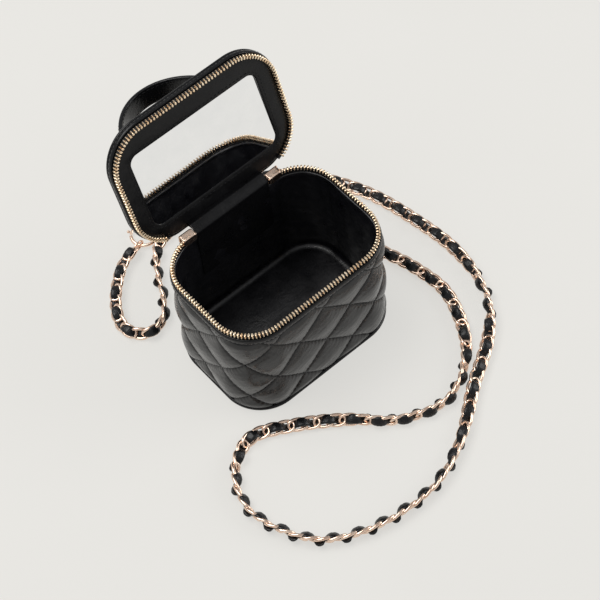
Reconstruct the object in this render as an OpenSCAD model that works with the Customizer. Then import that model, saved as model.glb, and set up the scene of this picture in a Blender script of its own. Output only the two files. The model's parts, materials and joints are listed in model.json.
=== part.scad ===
// Quilted vanity-case crossbody purse with a mirrored lid, a zip round three sides, a top handle
// and a detachable chain-and-leather shoulder strap. Origin: centre of the base, on the floor.
// X runs along the length, the hinge is at the back (+Y), Z is up. Millimetres.

/* [Case] */
// Length of the case, left end to right end
case_l = 124; // [112:1:136]
// Depth of the case, front to back
case_w = 89; // [84:1:96]
// Height of the case from the floor to the line where the two zip rows meet
case_h = 89; // [84:1:100]
// Radius of the four upright corners
corner_r = 28; // [24:1:32]
// Thickness of the leather and foam of the outer wall
cover_t = 1.6; // [1.2:0.1:1.8]
// Thickness of the board inside the wall
board_t = 1.2; // [0.8:0.1:1.2]
// Thickness of the lining
lining_t = 0.6; // [0.4:0.1:0.6]
// Radius of the piping round the base and round the lid
piping_r = 1.2; // [1:0.1:1.2]
// Height of the smooth strip between the quilting and the zip tape
facing_h = 4.6; // [3:0.1:6]

/* [Zip] */
// Distance from the outer face to the middle of the zip
zip_inset = 2; // [2:0.1:2.2]
// Distance from one tooth to the next
tooth_pitch = 2.3; // [1.8:0.1:3]
// Length of a tooth along the zip
tooth_l = 1.1; // [0.8:0.1:1.2]
// Thickness of a tooth across the tape
tooth_w = 2.2; // [1.8:0.1:2.2]
// Height of a tooth
tooth_h = 1.65; // [1.4:0.05:1.7]
// Thickness of the zip tape
tape_t = 0.6; // [0.4:0.1:0.6]
// Length of a slider
slider_l = 10; // [8:0.5:10]
// Length of a pull tab
pull_l = 18; // [12:1:24]

/* [Lid] */
// Angle of the lid from closed
lid_open = 107; // [0:1:120]
// Height of the lid above the zip
lid_h = 10.2; // [10.2:0.1:12]
// Length of the visible mirror
mirror_l = 96; // [80:1:100]
// Depth of the visible mirror
mirror_w = 56; // [44:1:60]
// Corner radius of the visible mirror
mirror_r = 6.5; // [3:0.5:8]
// Thickness of the mirror glass
glass_t = 1.8; // [1:0.1:1.8]

/* [Handle] */
// Distance between the middles of the handle's two feet
handle_span = 76; // [70:1:86]
// Height of the arch over the lid
handle_h = 56; // [45:1:65]
// Width of the handle band
handle_w = 13.5; // [12:0.5:18]
// Thickness of the handle band
handle_t = 3; // [2:0.1:4]

/* [Hinge] */
// Width of the smooth leather panel that joins the lid to the case
hinge_l = 57; // [50:1:57]

/* [Strap] */
// Overall width of the chain with its woven leather
cord_d = 9; // [8:0.5:9]
// Radius of a spring ring, to the middle of its wire
ring_r = 8.85; // [8.5:0.05:9]
// Radius of a spring ring's wire
ring_wire_r = 1.15; // [1:0.05:1.15]
// Radius of a D-ring's wire
d_wire_r = 1.1; // [0.9:0.05:1.1]

/* [Hidden] */
$fn = 64;

eps = 0.05;                     // gap between neighbouring layers
row_gap = 0.15;                 // from a tooth's tip to the line where the rows meet
floor_gap = 0.1;                // under the strap where it lies on the floor
zip_clear = 4.4;                // from that line to the edge of the leather facing
quilt_top = case_h - zip_clear - facing_h;
facing_top = case_h - zip_clear;
tape_base = quilt_top + 0.2;
teeth_base = row_gap + tooth_h; // distance of a tooth's root from the meeting line
lining_in = cover_t + board_t;  // inset of the lining's outer face
panel_in = lining_in + lining_t;
panel_t = 0.8;
panel_base = 44;
axis_y = case_w / 2 + 0.3;      // the lid folds about this line at height case_h

// Zip line as seen from above
zip_l = case_l - 2 * zip_inset;
zip_w = case_w - 2 * zip_inset;
zip_r = corner_r - zip_inset;
half_x = zip_l / 2 - zip_r;
half_y = zip_w / 2 - zip_r;
arc_len = zip_r * PI / 2;
corner_1 = half_x + arc_len;        // distances from the front centre along the zip
corner_2 = corner_1 + 2 * half_y;
back_start = corner_2 + arc_len;
lid_row_gap_angle = 21;             // the lid's row starts this far round the back corner
case_row_end = back_start + half_x - hinge_l / 2 - 1;
lid_row_end = back_start - arc_len * lid_row_gap_angle / 90;

// End stops of the case's row, beyond the ends of the hinge's outer strip
stop_l = 1.6;
stop_w = 2.4;
stop_gap = 0.3;
strip_half = hinge_l / 2 - stop_l - 3 * stop_gap;
stop_x = strip_half + stop_gap + stop_l / 2;

// Slider and pull
bend_play = 0.8;                    // room beside the teeth, so the slider follows the corner
plate_in = tooth_w / 2 + bend_play;
plate_t = 0.9;
plate_mouth = 2.9;
plate_tail = 2.2;
flare_start = -1;                   // along the slider, where its plates begin to widen
flare_end = 2;
lip_w = plate_in - tape_t / 2 - bend_play;
lip_h = 0.25;
wedge_x = -4;
wedge_z = 0.2;
wedge_l = 8;
wedge_h = 1.9;
pin_r = 0.6;
pin_clear = 0.06;
pin_down = 2.2;
ear_t = 0.8;
ear_h = 2;
ear_gap = 0.2;
knuckle_l = 3.6;
knuckle_r = 1.15;
pin_out = plate_in + plate_t + knuckle_r + 0.3;
pull_w = 5.5;
pull_t = 1.2;
pull_neck = 3;

// Lid layers, measured up from the meeting line
bezel_z = 3.4;
bezel_t = 1.1;
glass_z = bezel_z + bezel_t;
glass_lap = 1.2;
mirror_y = 2;                       // the mirror sits a little towards the hinge
board_z = glass_z + glass_t;
lid_piping_z = lid_h - piping_r;
top_panel_t = 1.2;
top_panel_z = lid_h - top_panel_t;
tab_t = 1.2;
handle_y = -9;                      // the handle sits a little towards the front
arch_steps = 36;

// D-rings and their tabs
d_tab_x = 18;
d_tab_z = 68;
d_tab_w = 11;
d_loop_r = 2;
d_half_w = 7;
d_leg = 5;
d_clear = 0.08;
d_axis_y = case_w / 2 + 0.1 + d_loop_r;
d_tilt = 45;                        // the clipped spring ring holds the right D-ring out
d_tip_y = d_axis_y + (d_leg + d_half_w) * sin(d_tilt);
d_tip_z = d_tab_z - (d_leg + d_half_w) * cos(d_tilt);

// Spring rings
gate_arc = 62;
gate_wire_r = 0.9;
pivot_gap = 5;                      // degrees of open arc at the end that the gate turns on
swing_gap = 10;                     // and at its free end, so it can swing in past the ring
ring_rest = 1.7;                    // the link under the ring that lies down holds it this far up
link_gap = 0.3;                     // between the right D-ring and the ring that hangs on it
left_ring_pos = [-24.5, 116.5, ring_wire_r + ring_rest];
left_gate_turn = 106;
right_ring_pos = [d_tab_x, d_tip_y, d_tip_z + d_wire_r + ring_wire_r + link_gap - ring_r];

// Route of the strap from the right spring ring, down behind the case, round the floor to the left one
cord_z = cord_d / 2 + floor_gap;
cord_route = [
    [18, 55, 43], [18, 57, 30], [22, 61, 16], [35, 65, 6.2], [56, 57, cord_z], [70, 36, cord_z],
    [79, 4, cord_z], [88, -27, cord_z], [89, -58, cord_z], [70, -94, cord_z], [38, -112, cord_z],
    [6, -103, cord_z], [-18, -81, cord_z], [-46, -61, cord_z], [-72, -50, cord_z], [-95, -64, cord_z],
    [-103, -92, cord_z], [-89, -126, cord_z], [-66, -143, cord_z], [-36, -151, cord_z],
    [-4, -150, cord_z], [26, -137, cord_z], [56, -116, cord_z], [86, -97, cord_z], [107, -74, cord_z],
    [116, -40, cord_z], [114, -3, cord_z], [103, 44, cord_z], [76, 87, cord_z], [40, 103, cord_z],
    [2, 107, cord_z], [-22, 103, cord_z], [-36, 88, cord_z], [-45, 71, cord_z], [-52, 60, cord_z],
    [-61, 53, cord_z], [-71, 54, cord_z], [-78, 61, cord_z], [-79, 72, cord_z], [-72, 86, cord_z],
    [-60, 99, cord_z], [-47, 108, cord_z], [-33, 111, cord_z]
];
cord_sides = 10;
cord_steps = 2;                     // rings for each stretch of the route

leather = "#17171a";
lining_colour = "#0e0e12";
tape_colour = "#1f1f22";
board_colour = "#8a7f70";
brass = "#c79a54";
rose_gold = "#d9a184";

// ---- shared shapes ----

// Rounded rectangle: the case seen from above, drawn in by a distance
module outline(inset) {
    r = corner_r - inset;
    x = case_l / 2 - corner_r;
    y = case_w / 2 - corner_r;
    square([2 * x, 2 * (y + r)], center = true);
    square([2 * (x + r), 2 * y], center = true);
    for (sx = [-1, 1], sy = [-1, 1])
        translate([sx * x, sy * y])
            circle(r);
}

// Upright wall that follows the case, between two heights
module wall(inset, t, z0, z1) {
    translate([0, 0, z0])
        linear_extrude(z1 - z0)
            difference() {
                outline(inset);
                outline(inset + t);
            }
}

// Flat sheet in the case's outline
module sheet(inset, z0, t) {
    translate([0, 0, z0])
        linear_extrude(t)
            outline(inset);
}

// Round bead that runs round the case's edge
module bead(z) {
    x = case_l / 2 - corner_r;
    y = case_w / 2 - corner_r;
    r = corner_r - piping_r;
    for (turn = [0 : 3]) {
        sx = (turn == 0 || turn == 3) ? 1 : -1;
        sy = turn < 2 ? 1 : -1;
        translate([sx * x, sy * y, z])
            rotate(turn * 90)
                rotate_extrude(angle = 90)
                    translate([r, 0])
                        circle(piping_r);
    }
    for (s = [-1, 1]) {
        translate([s * (x + r), 0, z])
            rotate([90, 0, 0])
                cylinder(h = 2 * y, r = piping_r, center = true);
        translate([0, s * (y + r), z])
            rotate([0, 90, 0])
                cylinder(h = 2 * x, r = piping_r, center = true);
    }
}

// Moves its children along the left half of the zip line, d from the front centre; -Y faces out
module at_zip(d) {
    if (d <= half_x)
        translate([-d, -zip_w / 2, 0])
            children();
    else if (d <= corner_1)
        translate([-half_x, -half_y, 0])
            rotate(-(d - half_x) / arc_len * 90)
                translate([0, -zip_r, 0])
                    children();
    else if (d <= corner_2)
        translate([-zip_l / 2, -half_y + d - corner_1, 0])
            rotate(-90)
                children();
    else if (d <= back_start)
        translate([-half_x, half_y, 0])
            rotate(-90 - (d - corner_2) / arc_len * 90)
                translate([0, -zip_r, 0])
                    children();
    else
        translate([-half_x + d - back_start, zip_w / 2, 0])
            rotate(180)
                children();
}

// Row of teeth on both halves of the zip, from height z
module teeth(row_end, z) {
    for (side = [0, 1])
        mirror([side, 0, 0])
            for (i = [0 : floor(row_end / tooth_pitch) - 1])
                at_zip((i + 0.5) * tooth_pitch)
                    translate([-tooth_l / 2, -tooth_w / 2, z])
                        cube([tooth_l, tooth_w, tooth_h]);
}

// Turns the closed lid about the fold line
module lid_place() {
    translate([0, axis_y, case_h])
        rotate([-lid_open, 0, 0])
            translate([0, -axis_y, 0])
                children();
}

// Block across the hinge side that no zip tape reaches
module hinge_zone(half_l, z0, z1) {
    translate([-half_l, 0, z0])
        cube([2 * half_l, case_w, z1 - z0]);
}

module rounded_plate(l, w, r, t) {
    linear_extrude(t) {
        square([l - 2 * r, w], center = true);
        square([l, w - 2 * r], center = true);
        for (sx = [-1, 1], sy = [-1, 1])
            translate([sx * (l / 2 - r), sy * (w / 2 - r)])
                circle(r);
    }
}

// ---- case ----

module quilted_wall() {
    color(leather)
        wall(0, cover_t, 2 * piping_r + eps, quilt_top);
}

module rim_facing() {
    color(leather)
        wall(0, cover_t, quilt_top + eps, facing_top);
}

module base_panel() {
    color(leather)
        sheet(2 * piping_r + eps, 0, cover_t - eps);
}

module base_piping() {
    color(leather)
        bead(piping_r);
}

module case_stiffener() {
    color(board_colour)
        wall(cover_t + eps, board_t - 2 * eps, 2 * piping_r + eps, quilt_top);
}

module base_board() {
    color(board_colour)
        sheet(lining_in + eps, cover_t, board_t + eps);
}

module case_lining() {
    color(lining_colour)
        wall(lining_in, lining_t, cover_t + board_t + lining_t + 4 * eps, facing_top - lining_t);
}

module base_lining() {
    color(lining_colour)
        sheet(lining_in + eps, cover_t + board_t + 2 * eps, lining_t);
}

module case_zip_tape() {
    color(tape_colour)
        difference() {
            wall(zip_inset - tape_t / 2, tape_t, tape_base, case_h - teeth_base);
            hinge_zone(strip_half + eps, 0, case_h);
        }
}

module case_zip_teeth() {
    color(brass)
        teeth(case_row_end, case_h - teeth_base);
}

module zip_end_stops() {
    color(brass)
        for (side = [-1, 1])
            translate([side * stop_x, zip_w / 2, case_h - row_gap - tooth_h / 2])
                cube([stop_l, stop_w, tooth_h], center = true);
}

// Inner panel of the hinge: hangs down inside the back wall
module hinge_panel_case() {
    color(leather)
        translate([-hinge_l / 2, case_w / 2 - panel_in - panel_t, panel_base])
            cube([hinge_l, panel_t, case_h - panel_base - 2 * row_gap]);
}

// Outer strip of the hinge, in line with the facing
module hinge_strip_case() {
    color(leather)
        translate([-strip_half, case_w / 2 - cover_t, facing_top + eps])
            cube([2 * strip_half, cover_t - zip_inset / 2, zip_clear - 2 * row_gap - eps]);
}

module d_ring_tab(side) {
    color(leather)
        translate([side * d_tab_x, 0, 0])
            difference() {
                union() {
                    translate([-d_tab_w / 2, case_w / 2 + 2 * eps, d_tab_z])
                        cube([d_tab_w, cover_t, quilt_top - d_tab_z]);
                    translate([0, d_axis_y, d_tab_z])
                        rotate([0, 90, 0])
                            cylinder(h = d_tab_w, r = d_loop_r, center = true);
                }
                translate([0, d_axis_y, d_tab_z])
                    rotate([0, 90, 0])
                        cylinder(h = d_tab_w + 2, r = d_wire_r + d_clear, center = true);
            }
}

module d_ring_tab_left() d_ring_tab(-1);
module d_ring_tab_right() d_ring_tab(1);

// ---- lid ----

module lid_facing() {
    color(leather)
        lid_place()
            wall(0, cover_t, zip_clear, lid_piping_z - piping_r - eps);
}

module lid_piping() {
    color(leather)
        lid_place()
            bead(lid_piping_z);
}

module lid_top_panel() {
    color(leather)
        lid_place()
            sheet(2 * piping_r + eps, top_panel_z, top_panel_t);
}

module lid_padding() {
    color("#55555a")
        lid_place()
            sheet(2 * piping_r + eps, board_z + board_t + eps, top_panel_z - board_z - board_t - 2 * eps);
}

module lid_board() {
    color(board_colour)
        lid_place()
            sheet(2 * piping_r + eps, board_z + eps, board_t - eps);
}

module mirror_plate(lap, t) {
    rounded_plate(mirror_l + 2 * lap, mirror_w + 2 * lap, mirror_r, t);
}

module mirror_frame_board() {
    color(board_colour)
        lid_place()
            difference() {
                sheet(2 * piping_r + eps, glass_z + eps, glass_t - eps);
                translate([0, mirror_y, glass_z])
                    mirror_plate(glass_lap + eps, 2 * glass_t);
            }
}

module mirror_glass() {
    color("#c8ccd0")
        lid_place()
            translate([0, mirror_y, glass_z + eps])
                mirror_plate(glass_lap, glass_t - eps);
}

module mirror_bezel() {
    color(leather)
        lid_place()
            difference() {
                sheet(2 * piping_r + eps, bezel_z, bezel_t);
                translate([0, mirror_y, bezel_z - bezel_t])
                    mirror_plate(0, 3 * bezel_t);
            }
}

module lid_zip_tape() {
    zone = half_x + zip_r * sin(lid_row_gap_angle);
    color(tape_colour)
        lid_place()
            difference() {
                wall(zip_inset - tape_t / 2, tape_t, teeth_base, lid_piping_z - piping_r - eps);
                hinge_zone(zone, 0, zip_clear);
            }
}

module lid_zip_teeth() {
    color(brass)
        lid_place()
            teeth(lid_row_end, row_gap);
}

module hinge_panel_lid() {
    color(leather)
        lid_place()
            translate([-hinge_l / 2, case_w / 2 - panel_in - panel_t, 2 * row_gap])
                cube([hinge_l, panel_t, bezel_z - 2 * row_gap - eps]);
}

module hinge_strip_lid() {
    color(leather)
        lid_place()
            translate([-strip_half, case_w / 2 - cover_t, 2 * row_gap])
                cube([2 * strip_half, cover_t - zip_inset / 2, zip_clear - 2 * row_gap - eps]);
}

// Points of a half ellipse from right to left
function arch(a, h, flip) = [
    for (i = [0 : arch_steps])
        let (t = 180 * (flip ? arch_steps - i : i) / arch_steps)
            [a * cos(t), h * sin(t)]
];

module handle_strap() {
    a = handle_span / 2;
    color(leather)
        lid_place()
            translate([0, handle_y + handle_w / 2, lid_h + tab_t])
                rotate([90, 0, 0])
                    linear_extrude(handle_w)
                        polygon(concat(arch(a + handle_t / 2, handle_h - tab_t, false),
                                       arch(a - handle_t / 2, handle_h - tab_t - handle_t, true)));
}

module handle_tab(side) {
    color(leather)
        lid_place()
            translate([side * handle_span / 2, handle_y, lid_h])
                rounded_plate(14, handle_w + 4, 4, tab_t);
}

module handle_tab_left() handle_tab(-1);
module handle_tab_right() handle_tab(1);

// ---- zip sliders and pulls, drawn for the left side ----

module slider_side(face) {
    half_l = slider_l / 2;
    translate([0, face > 0 ? plate_in + plate_t : -plate_in, 0])
        rotate([90, 0, 0])
            linear_extrude(plate_t)
                polygon([[-half_l, -plate_tail], [flare_start, -plate_tail], [flare_end, -plate_mouth],
                         [half_l, -plate_mouth], [half_l, plate_mouth], [flare_end, plate_mouth],
                         [flare_start, plate_tail], [-half_l, plate_tail]]);
    translate([-half_l, face > 0 ? plate_in - lip_w : -plate_in - eps, -plate_tail])
        cube([slider_l, lip_w + eps, lip_h]);
}

module slider_shape() {
    color(rose_gold)
        union() {
            slider_side(1);
            slider_side(-1);
            translate([wedge_x, -plate_in - eps, wedge_z])
                cube([wedge_l, 2 * plate_in + 2 * eps, wedge_h]);
            for (end = [-1, 1])
                translate([end * (knuckle_l / 2 + ear_gap) - (end < 0 ? ear_t : 0),
                           -pin_out - pin_r, -pin_down - ear_h / 2])
                    cube([ear_t, pin_out + pin_r - plate_in - plate_t / 2, ear_h]);
            translate([0, -pin_out, -pin_down])
                rotate([0, 90, 0])
                    cylinder(h = knuckle_l + 2 * ear_gap + 2 * ear_t, r = pin_r, center = true);
        }
}

module slider(side) {
    mirror([side, 0, 0])
        translate([0, 0, case_h])
            at_zip(back_start)
                slider_shape();
}

module slider_left() slider(0);
module slider_right() slider(1);

module pull_shape() {
    color(rose_gold)
        difference() {
            union() {
                rotate([0, 90, 0])
                    cylinder(h = knuckle_l, r = knuckle_r, center = true);
                translate([-knuckle_l / 2, -pull_t / 2, -pull_neck])
                    cube([knuckle_l, pull_t, pull_neck]);
                translate([0, pull_t / 2, 0])
                    rotate([90, 0, 0])
                        linear_extrude(pull_t) {
                            translate([-pull_w / 2, -pull_l + pull_w / 2])
                                square([pull_w, pull_l - pull_w / 2 - pull_neck]);
                            translate([0, -pull_l + pull_w / 2])
                                circle(pull_w / 2);
                        }
            }
            rotate([0, 90, 0])
                cylinder(h = knuckle_l + 1, r = pin_r + pin_clear, center = true);
        }
}

module pull(side) {
    mirror([side, 0, 0])
        translate([0, 0, case_h - pin_down])
            at_zip(back_start)
                translate([0, -pin_out, 0])
                    pull_shape();
}

module pull_left() pull(0);
module pull_right() pull(1);

// ---- D-rings ----

module d_ring() {
    color(rose_gold)
        union() {
            rotate([0, 90, 0])
                cylinder(h = 2 * d_half_w, r = d_wire_r, center = true);
            for (end = [-1, 1])
                translate([end * d_half_w, 0, 0]) {
                    sphere(d_wire_r);
                    translate([0, 0, -d_leg])
                        cylinder(h = d_leg, r = d_wire_r);
                }
            translate([0, 0, -d_leg])
                rotate([-90, 0, 0])
                    rotate_extrude(angle = 180)
                        translate([d_half_w, 0])
                            circle(d_wire_r);
        }
}

module d_ring_left() {
    translate([-d_tab_x, d_axis_y, d_tab_z])
        d_ring();
}

module d_ring_right() {
    translate([d_tab_x, d_axis_y, d_tab_z])
        rotate([d_tilt, 0, 0])
            d_ring();
}

// ---- strap ----

// Part of a wire ring in the XY plane, centred on the +X direction
module ring_arc(span, wire_r) {
    rotate(-span / 2)
        rotate_extrude(angle = span)
            translate([ring_r, 0])
                circle(wire_r);
}

module ring_body() {
    color(rose_gold)
        rotate(180 + (swing_gap - pivot_gap) / 2)
            ring_arc(360 - gate_arc - pivot_gap - swing_gap, ring_wire_r);
}

module ring_gate() {
    color(rose_gold)
        ring_arc(gate_arc, gate_wire_r);
}

module left_ring_place() {
    translate(left_ring_pos)
        rotate(left_gate_turn)
            children();
}

module right_ring_place() {
    translate(right_ring_pos)
        rotate([90, 0, 90])
            children();
}

module strap_ring_left() left_ring_place() ring_body();
module strap_gate_left() left_ring_place() ring_gate();
module strap_ring_right() right_ring_place() ring_body();
module strap_gate_right() right_ring_place() ring_gate();

// Smooth curve through the route's points
last = len(cord_route) - 1;
function stop(i) = cord_route[max(0, min(last, i))];
function curve(i, t) =
    let (a = stop(i - 1), b = stop(i), c = stop(i + 1), d = stop(i + 2))
        0.5 * (2 * b + (c - a) * t + (2 * a - 5 * b + 4 * c - d) * t * t
               + (3 * b - a - 3 * c + d) * t * t * t);
function unit(v) = v / norm(v);
cord_line = concat([for (i = [0 : last - 1], k = [0 : cord_steps - 1]) curve(i, k / cord_steps)],
                   [cord_route[last]]);
rings = len(cord_line);

// Side and up directions of each ring, kept level along the floor and turned smoothly in the drop
function along(i) = unit(cord_line[min(rings - 1, i + 1)] - cord_line[max(0, i - 1)]);
function side_of(d) = unit(cross(d, abs(d.z) > 0.9 ? [0, 1, 0] : [0, 0, 1]));
function carried(i) = i == 0 ? side_of(along(0))
    : let (p = carried(i - 1), d = along(i)) unit(p - (p * d) * d);
sides_at = [for (i = [0 : rings - 1]) carried(i)];

module strap_cord() {
    points = [for (i = [0 : rings - 1], k = [0 : cord_sides - 1])
        let (s = sides_at[i], u = cross(along(i), s), a = 360 * k / cord_sides)
            cord_line[i] + cord_d / 2 * (cos(a) * s + sin(a) * u)];
    walls = [for (i = [0 : rings - 2], k = [0 : cord_sides - 1])
        let (k2 = (k + 1) % cord_sides)
            [i * cord_sides + k, (i + 1) * cord_sides + k,
             (i + 1) * cord_sides + k2, i * cord_sides + k2]];
    caps = [[for (k = [0 : cord_sides - 1]) k],
            [for (k = [cord_sides - 1 : -1 : 0]) (rings - 1) * cord_sides + k]];
    color(leather)
        polyhedron(points, concat(walls, caps));
}

quilted_wall();
rim_facing();
base_panel();
base_piping();
case_stiffener();
base_board();
case_lining();
base_lining();
case_zip_tape();
case_zip_teeth();
zip_end_stops();
hinge_panel_case();
hinge_strip_case();
d_ring_tab_left();
d_ring_tab_right();
lid_facing();
lid_piping();
lid_top_panel();
lid_padding();
lid_board();
mirror_frame_board();
mirror_glass();
mirror_bezel();
lid_zip_tape();
lid_zip_teeth();
hinge_panel_lid();
hinge_strip_lid();
handle_strap();
handle_tab_left();
handle_tab_right();
slider_left();
slider_right();
pull_left();
pull_right();
d_ring_left();
d_ring_right();
strap_cord();
strap_ring_left();
strap_ring_right();
strap_gate_left();
strap_gate_right();
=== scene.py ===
"""Quilted vanity-case purse: leather, lining, zip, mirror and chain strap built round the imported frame.

Shapes are worked out in millimetres and written to the meshes in metres. The lid is shaped closed,
with heights measured from the line where the two zip rows meet, and then turned open about the hinge.
"""
import json
import math

import bpy
import numpy as np
from mathutils import Matrix, Vector


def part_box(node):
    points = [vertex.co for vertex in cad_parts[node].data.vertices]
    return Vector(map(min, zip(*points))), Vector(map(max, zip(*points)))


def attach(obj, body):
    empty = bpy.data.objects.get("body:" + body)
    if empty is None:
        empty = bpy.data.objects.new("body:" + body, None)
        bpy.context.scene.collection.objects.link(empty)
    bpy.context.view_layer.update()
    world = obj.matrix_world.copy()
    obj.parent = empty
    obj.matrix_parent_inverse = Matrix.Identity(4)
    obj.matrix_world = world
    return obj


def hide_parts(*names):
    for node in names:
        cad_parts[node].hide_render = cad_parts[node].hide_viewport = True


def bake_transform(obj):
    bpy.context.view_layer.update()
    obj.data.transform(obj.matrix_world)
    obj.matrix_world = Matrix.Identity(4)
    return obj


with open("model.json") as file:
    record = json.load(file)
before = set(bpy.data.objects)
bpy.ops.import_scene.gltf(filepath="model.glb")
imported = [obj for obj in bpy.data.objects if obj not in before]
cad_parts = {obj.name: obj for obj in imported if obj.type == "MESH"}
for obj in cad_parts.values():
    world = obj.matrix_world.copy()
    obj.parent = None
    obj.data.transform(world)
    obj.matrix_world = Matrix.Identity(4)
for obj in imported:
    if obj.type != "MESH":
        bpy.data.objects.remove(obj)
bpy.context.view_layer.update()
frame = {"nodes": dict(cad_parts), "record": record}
MM = 0.001


# ---- sizes taken from the frame, in millimetres ----

def box_mm(node):
    low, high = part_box(node)
    return np.array(low) / MM, np.array(high) / MM


WALL_LOW, WALL_HIGH = box_mm("quilted_wall")
FACING_LOW, FACING_HIGH = box_mm("rim_facing")
CORNER_R = 28.0
HALF_X = WALL_HIGH[0] - CORNER_R
HALF_Y = WALL_HIGH[1] - CORNER_R
HINGE = next(j for j in frame["record"]["behaviour"]["joints"] if j["name"] == "lid_hinge")
AXIS_Y = HINGE["pos_m"][1] / MM
RIM_Z = HINGE["pos_m"][2] / MM
LID_OPEN = math.radians(-HINGE["range_deg"][0])
ZIP_INSET = 2.0
COVER_T = 1.6
PIPING_R = 1.2
INSIDE_PIPING = 2.45        # inset of what lies just inside the piping
RIM_INSET = 2.5             # inset of the lining's lip and the base
LINING_INSET = 2.95
FLOOR_BEND = 4              # radius of the lining's turn from the wall to the floor
LID_H = 10.2
LID_FACING = (4.4, 7.75)
BEZEL_Z = 3.4
MIRROR_HALF = (48.0, 28.0)
MIRROR_R = 6.5
MIRROR_Y = 2.0
MIRROR_SHAPE = (MIRROR_HALF[0] - MIRROR_R, MIRROR_HALF[1] - MIRROR_R, MIRROR_R, MIRROR_Y)
MIRROR_LEAN = math.radians(1.5)
HINGE_HALF = 28.5
STRIP_HALF = 26.0
FOLD_START = 0.4            # the hinge leather bends from this far below the meeting line to as far above
HANDLE_Y = -9.0
HANDLE_SPAN = 76.0
HANDLE_TOP = 66.2
HANDLE_W = 13.5
HANDLE_T = 3.0
TAB_T = 1.2
TOOTH_PITCH = 2.3
SLIDER_HALF_Y = 2.8

ARC = CORNER_R * math.pi / 2
BREAKS = np.cumsum([0, HALF_X, ARC, 2 * HALF_Y, ARC, 2 * HALF_X, ARC, 2 * HALF_Y, ARC, HALF_X])
PERIMETER = BREAKS[-1]
CORNER_X = np.array([0, 1, 1, 1, 1, -1, -1, -1, -1, 0])
CORNER_Y = np.array([-1, -1, -1, 1, 1, 1, 1, -1, -1, -1])
NORMAL_ANGLE = np.radians([-90, -90, 0, 0, 90, 90, 180, 180, 270, 270])


# ---- mesh kit ----

def rounded(s, inset, half_x=HALF_X, half_y=HALF_Y, radius=CORNER_R, centre_y=0.0):
    """Points (x, y) and outward normals of a rounded rectangle, drawn in by inset.

    s is the distance round the case's own outline from the front centre, to the right; a smaller
    rounded rectangle is met at the matching place on its matching side or corner."""
    place = np.interp(np.mod(s, PERIMETER), BREAKS, np.arange(len(BREAKS)))
    step = np.arange(len(BREAKS))
    angle = np.interp(place, step, NORMAL_ANGLE)
    normal = np.stack([np.cos(angle), np.sin(angle)], -1)
    x = half_x * np.interp(place, step, CORNER_X)
    y = half_y * np.interp(place, step, CORNER_Y) + centre_y
    return np.stack([x, y], -1) + normal * (radius - np.asarray(inset))[..., None], normal


def grid_faces(rows, cols, wrap_rows=False, wrap_cols=False):
    """Quads of a grid of vertices numbered row by row."""
    r = np.arange(rows if wrap_rows else rows - 1)[:, None]
    c = np.arange(cols if wrap_cols else cols - 1)[None, :]
    r2, c2 = (r + 1) % rows, (c + 1) % cols
    quads = np.stack(np.broadcast_arrays(r * cols + c, r2 * cols + c, r2 * cols + c2, r * cols + c2), -1)
    return quads.reshape(-1, 4).tolist()


def capped(rows, cols):
    """Faces of a closed tube: rows of cols vertices, with a flat face at each end."""
    last = (rows - 1) * cols
    return grid_faces(rows, cols, False, True) + [list(range(cols)), [last + k for k in range(cols)][::-1]]


def at_height(xy, z):
    """Points (x, y, z) from points (x, y); z is one height or one for each point."""
    return np.concatenate([xy, np.broadcast_to(z, xy.shape[:-1])[..., None]], -1)


def blunt(wave, power):
    """A sine or cosine pushed towards a square wave."""
    return np.sign(wave) * np.abs(wave) ** power


def lid_place(points):
    """Turns points of the closed lid, heights from the meeting line, to the open lid."""
    p = np.asarray(points, float)
    c, s = math.cos(LID_OPEN), math.sin(LID_OPEN)
    y, z = p[..., 1] - AXIS_Y, p[..., 2]
    return np.stack([p[..., 0], AXIS_Y + y * c + z * s, RIM_Z - y * s + z * c], -1)


def piece(name, points, faces, material, body, slot, replaces=(), uv=None, flat_angle=40, seam=None):
    """A mesh object from points in millimetres, riding on a body; seam is 1 where leather is sewn down, and
    sets where painted shade darkens the quilted leather.
    """
    mesh = bpy.data.meshes.new(name)
    mesh.from_pydata((np.asarray(points, float).reshape(-1, 3) * MM).tolist(), [], faces)
    mesh.validate()
    mesh.shade_smooth()
    if flat_angle:
        mesh.set_sharp_from_angle(angle=math.radians(flat_angle))
    if uv is not None:
        cloth = mesh.attributes.new("cloth", "FLOAT_VECTOR", "POINT")
        flat = np.zeros((len(mesh.vertices), 3), np.float32)
        flat[:, :2] = np.asarray(uv, float).reshape(-1, 2) * MM
        cloth.data.foreach_set("vector", flat.ravel())
    if seam is not None:
        seam_shade_layer = mesh.attributes.new("seam", "FLOAT", "POINT")
        seam_shade_layer.data.foreach_set("value", np.asarray(seam, np.float32).ravel())
    mesh.materials.append(material)
    obj = bpy.data.objects.new(name, mesh)
    bpy.context.scene.collection.objects.link(obj)
    if body:
        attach(obj, body)
    if replaces:
        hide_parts(*replaces)
    return obj


def turned_out(obj):
    """Makes the faces of closed shapes point outwards."""
    bpy.context.view_layer.objects.active = obj
    obj.select_set(True)
    bpy.ops.object.mode_set(mode="EDIT")
    bpy.ops.mesh.select_all(action="SELECT")
    bpy.ops.mesh.normals_make_consistent(inside=False)
    bpy.ops.object.mode_set(mode="OBJECT")
    obj.select_set(False)
    return obj


def round_band(profile, stations, place=None):
    """Sweeps a closed profile of (inset, z) points round the outline at the stations given."""
    profile = np.asarray(profile, float)
    s = np.repeat(stations[:, None], len(profile), 1)
    xy, _ = rounded(s, np.repeat(profile[None, :, 0], len(stations), 0))
    points = at_height(xy, profile[None, :, 1])
    whole = abs(stations[-1] - stations[0]) > PERIMETER - 4
    size = len(stations), len(profile)
    faces = grid_faces(*size, True, True) if whole else capped(*size)
    travelled = np.cumsum(np.r_[0, np.linalg.norm(np.diff(profile, axis=0), axis=1)])
    uv = np.stack(np.broadcast_arrays(s, travelled[None, :]), -1)
    return (place(points) if place else points), faces, uv


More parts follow.
